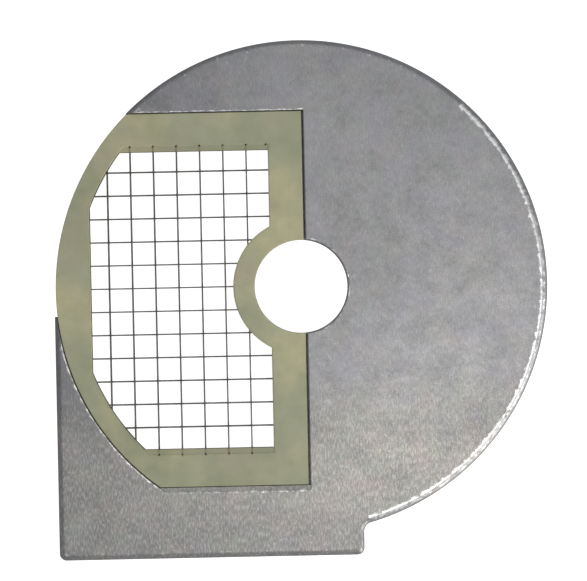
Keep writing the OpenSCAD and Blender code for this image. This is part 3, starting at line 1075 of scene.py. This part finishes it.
def aluminium(colours):
    """Tumbled cast aluminium: mottled, with painted shade towards the left and a painted warm reflection
    towards the tab, scratched, and bright on its worn edges and in a painted highlight on the right rim.
    """
    g = Finish("Tumbled aluminium")
    across, wear = g.axes(), g.attribute("wear")

    broad = g.shared("Mottle", scale=16.0, detail=4.0, low=0.36, high=0.66)
    patchy = g.shared("Mottle", scale=90.0, detail=4.0, low=0.36, high=0.66, seed=4.0)
    small = g.shared("Mottle", scale=330.0, detail=3.0, low=0.30, high=0.70, seed=9.0)
    fine = g.shared("Mottle", scale=1500.0, detail=3.0, low=0.3, high=0.7, seed=8.0)
    violet = g.shared("Mottle", scale=75.0, detail=5.0, low=0.42, high=0.66, seed=2.0)
    green = g.shared("Mottle", scale=95.0, detail=5.0, low=0.46, high=0.68, seed=12.0)
    pink = g.shared("Mottle", scale=110.0, detail=5.0, low=0.48, high=0.70, seed=15.0)
    tab_side = g.ramp(across[1], -0.035, -0.075)

    dull_and_shade = g.math("MULTIPLY_ADD", broad, 0.25, g.math("MULTIPLY", patchy, 0.25))
    # Painted shade: the metal darkens towards the left.
    dull_and_shade = g.math("MULTIPLY_ADD", g.ramp(across[0], -0.01, -0.07), 0.30, dull_and_shade)
    dull_and_shade = g.math("MULTIPLY_ADD", g.ramp(across[1], -0.09, -0.11), 0.25, dull_and_shade)
    dull_and_shade = g.math("MULTIPLY_ADD", small, g.ramp(tab_side, 0.0, 1.0, 0.26, 0.40), dull_and_shade)
    dull_and_shade = g.math("MULTIPLY_ADD", fine, g.ramp(tab_side, 0.0, 1.0, 0.40, 0.60), dull_and_shade)
    coat = g.mix(dull_and_shade, rgb(colours.metal), rgb(colours.metal_dark))
    coat = g.mix(g.math("MULTIPLY", violet, 0.5), coat, rgb(colours.metal_cool))
    # Painted reflection: the metal turns warmer towards the tab, as under warm light from the front.
    warm = g.math("MULTIPLY", tab_side, g.ramp(dull_and_shade, 0.2, 1.0, 0.85, 0.25))
    coat = g.mix(warm, coat, rgb(colours.metal_warm_reflection))
    tinted = g.ramp(tab_side, 0.0, 1.0, 0.25, 0.50)
    coat = g.mix(g.math("MULTIPLY", green, tinted), coat, rgb(colours.metal_green))
    coat = g.mix(g.math("MULTIPLY", pink, tinted), coat, rgb(colours.metal_pink))

    brushed = g.shared("Scratches", scale=1500.0, stretch=3.5, low=0.42, high=0.72)
    slant = g.shared("Scratches", turn=0.9, scale=2400.0, stretch=24.0, low=0.69, high=0.80)
    counter = g.shared("Scratches", turn=-0.5, scale=2100.0, stretch=20.0, low=0.69, high=0.80)
    streaks = g.math("MULTIPLY", brushed, g.ramp(tab_side, 0.0, 1.0, 0.30, 1.0))
    coat = g.mix(g.math("MULTIPLY", streaks, 0.20), coat, rgb(colours.metal_worn_and_highlight))
    scratched = g.math("MAXIMUM", slant, counter)
    coat = g.mix(g.math("MULTIPLY", scratched, 0.10), coat, rgb(colours.metal_worn_and_highlight))

    specks = g.shared("Specks", scale=750.0, rarity=g.ramp(tab_side, 0.0, 1.0, 0.76, 0.69))
    # Worn edges, and the painted highlight that the wear value marks on the rim's right part.
    rubbed_and_highlight = g.shared("Edge wear", wear=wear, scale=420.0, spread=0.9, breaking=1.7)
    bright = g.math("MAXIMUM", g.math("MULTIPLY", specks, 0.40), rubbed_and_highlight)
    coat = g.mix(g.math("MULTIPLY", bright, 0.7), coat, rgb(colours.metal_worn_and_highlight))

    rough = g.ramp(dull_and_shade, 0.0, 0.8, 0.40, 0.52)
    rough = g.math("SUBTRACT", rough, g.math("MULTIPLY", rubbed_and_highlight, 0.12))
    g.set(Base_Color=coat, Metallic=0.82, Roughness=rough)
    height = g.math("MULTIPLY_ADD", fine, 0.4, g.math("MULTIPLY", small, 0.8))
    height = g.math("SUBTRACT", height, g.math("MULTIPLY", scratched, 0.3))
    g.bump(height, 0.00005, 0.6)
    return g.material


def long_row():
    """Where the first long blade stands, and the distance from each to the next."""
    places = [middle_of(name).x for name in blade_names("long_blade")]
    return places[0], (places[-1] - places[0]) / (len(places) - 1)


def nylon(colours):
    """Aged natural nylon: olive and pinkish patches, dirty edges with painted shade along the window's
    edge, and rust over the blades' ends.
    """
    g = Finish("Aged nylon")
    wear, stain = g.attribute("wear"), g.attribute("stain")

    olive = g.shared("Mottle", scale=38.0, detail=3.0, low=0.38, high=0.62, seed=1.0)
    yellow = g.shared("Mottle", scale=30.0, detail=3.0, low=0.44, high=0.60, seed=23.0)
    cloud = g.shared("Mottle", scale=150.0, detail=3.0, low=0.35, high=0.65, seed=17.0)
    pink = g.shared("Mottle", scale=55.0, detail=3.0, low=0.50, high=0.74, seed=6.0)
    fine = g.shared("Mottle", scale=900.0, detail=2.0, low=0.3, high=0.7, seed=3.0)
    coat = g.mix(g.math("MULTIPLY", yellow, 0.9), rgb(colours.nylon), rgb(colours.nylon_yellow))
    olive = g.math("MULTIPLY_ADD", cloud, 0.32, g.math("MULTIPLY", olive, 0.50))
    front_side = g.ramp(g.axes()[1], 0.0, -0.07)
    olive = g.math("MULTIPLY_ADD", front_side, 0.4, olive)
    coat = g.mix(olive, coat, rgb(colours.nylon_olive))
    coat = g.mix(g.math("MULTIPLY", pink, 0.5), coat, rgb(colours.nylon_pink))
    milled = g.shared("Scratches", turn=math.pi / 2, scale=700.0, stretch=30.0, low=0.55, high=0.8)
    coat = g.mix(g.math("MULTIPLY", milled, 0.12), coat, rgb(colours.nylon_olive))
    coat = g.mix(g.math("MULTIPLY", fine, 0.10), coat, rgb(colours.nylon_olive))

    # Grime on the edges, and painted shade along the window's edge.
    grime_and_shade = g.shared("Edge wear", wear=wear, scale=300.0, spread=0.8, breaking=0.9)
    coat = g.mix(g.math("MULTIPLY", grime_and_shade, 0.5), coat, rgb(colours.grime))
    on_step = g.ramp(stain, 0.2, 0.5)
    coat = g.mix(g.math("MULTIPLY", on_step, 0.22), coat, rgb(colours.grime))

    # The long blades' ends shine through the steps as lines of rust.
    first, pitch = long_row()
    apart = g.math("PINGPONG", g.math("SUBTRACT", g.axes()[0], first), pitch / 2)
    line = g.math("MULTIPLY", g.ramp(apart, 0.0002, 0.0007, 1.0, 0.0), g.ramp(pink, 0.0, 1.0, 0.45, 0.8))
    coat = g.mix(g.math("MULTIPLY", on_step, line), coat, rgb(colours.rust_stain))
    coat = g.mix(g.ramp(stain, 0.6, 1.0, 0.0, 0.9), coat, rgb(colours.rust_stain))

    g.set(Base_Color=coat, Roughness=g.ramp(fine, 0.0, 1.0, 0.42, 0.55))
    g.set(Subsurface_Weight=0.1, Subsurface_Radius=(1.0, 0.9, 0.5), Subsurface_Scale=0.0015)
    height = g.math("MULTIPLY_ADD", fine, 0.5, g.math("MULTIPLY", milled, -0.5))
    g.bump(height, 0.00003, 0.6)
    return g.material


def blade_steel(colours):
    """Ground blade steel, stained by use, with rust where the blades cross."""
    g = Finish("Blade steel")
    blotches = g.shared("Mottle", scale=160.0, detail=3.0, low=0.35, high=0.65, seed=5.0)
    streaks = g.shared("Mottle", scale=1200.0, detail=2.0, low=0.35, high=0.7, seed=7.0)
    coat = g.mix(g.math("MULTIPLY", blotches, 0.7), rgb(colours.steel), rgb(colours.steel_dark))
    coat = g.mix(g.math("MULTIPLY", streaks, 0.3), coat, rgb(colours.steel_dark))
    rusty = g.math("MULTIPLY", g.attribute("rust"), g.ramp(blotches, 0.0, 1.0, 0.45, 1.0))
    coat = g.mix(g.math("MULTIPLY", rusty, 0.8), coat, rgb(colours.rust))
    rough = g.ramp(rusty, 0.0, 1.0, 0.38, 0.75)
    g.set(Base_Color=coat, Metallic=g.ramp(rusty, 0.0, 1.0, 0.75, 0.1), Roughness=rough)
    g.bump(streaks, 0.00001, 0.5)
    return g.material


def finish(maker, name, colours):
    """The material of that name, made the first time that it's asked for."""
    return bpy.data.materials.get(name) or maker(colours)


# ---------------------------------------------------------------- the stage


LIGHTS = {  # name: (place, the point it faces, its width and height, tint)
    "key": ((0.075, -0.10, 0.45), (0.045, -0.07, 0), (0.18, 0.18), (1.0, 0.97, 0.93)),
    "side": ((0.62, -0.40, 0.19), (0.03, -0.02, 0), (0.80, 0.36), (1.0, 1.0, 1.0)),
    "fill": ((-0.1, 0.5, 0.9), (0, 0, 0), (0.8, 0.8), (0.97, 0.98, 1.0)),
}
FLOOR_REACH = 3.0  # from the floor's middle to its sides
FLOOR_Z = -0.2 * MM


def softbox(name, power, place, target, size, tint):
    """A soft rectangular light that faces a target."""
    light = bpy.data.lights.new(name, "AREA")
    light.shape = "RECTANGLE"
    light.size, light.size_y = size
    light.energy = power
    light.color = tint
    lamp = placed(name, light)
    lamp.location = place
    lamp.rotation_euler = (Vector(target) - Vector(place)).to_track_quat("-Z", "Y").to_euler()


def white_floor(glow):
    """A plain white floor that gives off enough light to hide the shadows on it."""
    mesh = bpy.data.meshes.new("floor")
    ways = ((-1, -1), (1, -1), (1, 1), (-1, 1))
    mesh.from_pydata([(x * FLOOR_REACH, y * FLOOR_REACH, FLOOR_Z) for x, y in ways], [], [(0, 1, 2, 3)])
    g = Finish("White floor")
    g.set(Base_Color=(0.62, 0.62, 0.62, 1.0), Roughness=0.9, Emission_Color=(1.0, 1.0, 1.0, 1.0))
    seen = g.node("ShaderNodeLightPath").outputs["Is Camera Ray"]
    g.set(Emission_Strength=g.math("MULTIPLY", seen, glow))
    mesh.materials.append(g.material)
    floor = placed("floor", mesh)
    floor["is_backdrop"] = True


def set_camera(stage):
    """A long lens straight above the plate, with the plate turned a little in its view."""
    camera = bpy.data.cameras.new("camera")
    camera.sensor_width = 36.0
    camera.lens = camera.sensor_width * stage.camera_height / stage.view_width
    camera.clip_start, camera.clip_end = 0.05, 20.0
    turn = stage.roll
    right = Vector((math.cos(turn), -math.sin(turn), 0))
    upwards = Vector((math.sin(turn), math.cos(turn), 0))
    eye = placed("camera", camera)
    eye.location = stage.look_right * right + stage.look_up * upwards
    eye.location.z = PLATE_HIGH.z + stage.camera_height
    eye.rotation_euler = (0, 0, -turn)
    bpy.context.scene.camera = eye


def light_stage(stage):
    """An even light from all round, and three softboxes."""
    world = bpy.data.worlds.new("studio")
    world.use_nodes = True
    background = world.node_tree.nodes["Background"].inputs
    background["Strength"].default_value = stage.world
    background["Color"].default_value = (0.96, 0.98, 1.0, 1.0)
    bpy.context.scene.world = world
    bpy.context.scene.view_settings.view_transform = "Standard"
    for name, setting in LIGHTS.items():
        softbox(name, getattr(stage, name), *setting)


# ---------------------------------------------------------------- operators


class BuildPlate(bpy.types.Operator):
    """Build the cast aluminium plate"""

    bl_idname = "dicer.build_plate"
    bl_label = "Cast plate"

    def execute(self, context):
        scene = context.scene
        piece = build_plate(scene.dicer_plate)
        piece.data.materials.append(finish(aluminium, "Tumbled aluminium", scene.dicer_finish))
        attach(piece, "plate")
        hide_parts("base_plate")
        return {"FINISHED"}


class BuildInsert(bpy.types.Operator):
    """Build the nylon insert that drops into the plate"""

    bl_idname = "dicer.build_insert"
    bl_label = "Nylon insert"

    def execute(self, context):
        scene = context.scene
        piece = build_insert(scene.dicer_insert, scene.dicer_plate)
        piece.data.materials.append(finish(nylon, "Aged nylon", scene.dicer_finish))
        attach(piece, "insert")
        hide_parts("insert_frame")
        return {"FINISHED"}


class BuildLongBlades(bpy.types.Operator):
    """Build the blades that run from the window's front to its back"""

    bl_idname = "dicer.build_long_blades"
    bl_label = "Long blades"

    def execute(self, context):
        scene = context.scene
        steel = finish(blade_steel, "Blade steel", scene.dicer_finish)
        build_blades("long_blade", "cross_blade", 1, scene.dicer_blades, steel)
        return {"FINISHED"}


class BuildCrossBlades(bpy.types.Operator):
    """Build the blades that run across the window"""

    bl_idname = "dicer.build_cross_blades"
    bl_label = "Cross blades"

    def execute(self, context):
        scene = context.scene
        steel = finish(blade_steel, "Blade steel", scene.dicer_finish)
        build_blades("cross_blade", "long_blade", 0, scene.dicer_blades, steel)
        return {"FINISHED"}


class SetStage(bpy.types.Operator):
    """Set the floor, the lights and the camera"""

    bl_idname = "dicer.set_stage"
    bl_label = "Stage"

    def execute(self, context):
        stage = context.scene.dicer_stage
        white_floor(stage.floor_glow)
        light_stage(stage)
        set_camera(stage)
        return {"FINISHED"}


OPERATORS = [BuildPlate, BuildInsert, BuildLongBlades, BuildCrossBlades, SetStage]


class DicerPanel(bpy.types.Panel):
    """The sidebar's list of pieces"""

    bl_idname = "VIEW3D_PT_dicer"
    bl_label = "Dicing grid plate"
    bl_space_type = "VIEW_3D"
    bl_region_type = "UI"
    bl_category = "Dicing grid"

    def draw(self, context):
        column = self.layout.column(align=True)
        for operator in OPERATORS:
            column.operator(operator.bl_idname)
        for name, group in SETTINGS.items():
            box = self.layout.box()
            box.label(text=group.__doc__.split(".")[0])
            for key in group.__annotations__:
                box.prop(getattr(context.scene, name), key)


CLASSES = [*SETTINGS.values(), *OPERATORS, DicerPanel]


def register():
    for cls in CLASSES:
        bpy.utils.register_class(cls)
    for name, group in SETTINGS.items():
        setattr(bpy.types.Scene, name, bpy.props.PointerProperty(type=group))


def unregister():
    for name in SETTINGS:
        delattr(bpy.types.Scene, name)
    for cls in reversed(CLASSES):
        bpy.utils.unregister_class(cls)


def main():
    """Builds everything, and works out the packed model's box and the finished one's."""
    register()
    bpy.ops.dicer.set_stage()
    bpy.ops.dicer.build_plate()
    bpy.ops.dicer.build_insert()
    bpy.ops.dicer.build_long_blades()
    bpy.ops.dicer.build_cross_blades()
    boxes = {"cad": CAD_BOX, "visual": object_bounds()}
    sizes = {name: [list(corner) for corner in box] for name, box in boxes.items()}


if __name__ == "__main__":
    main()
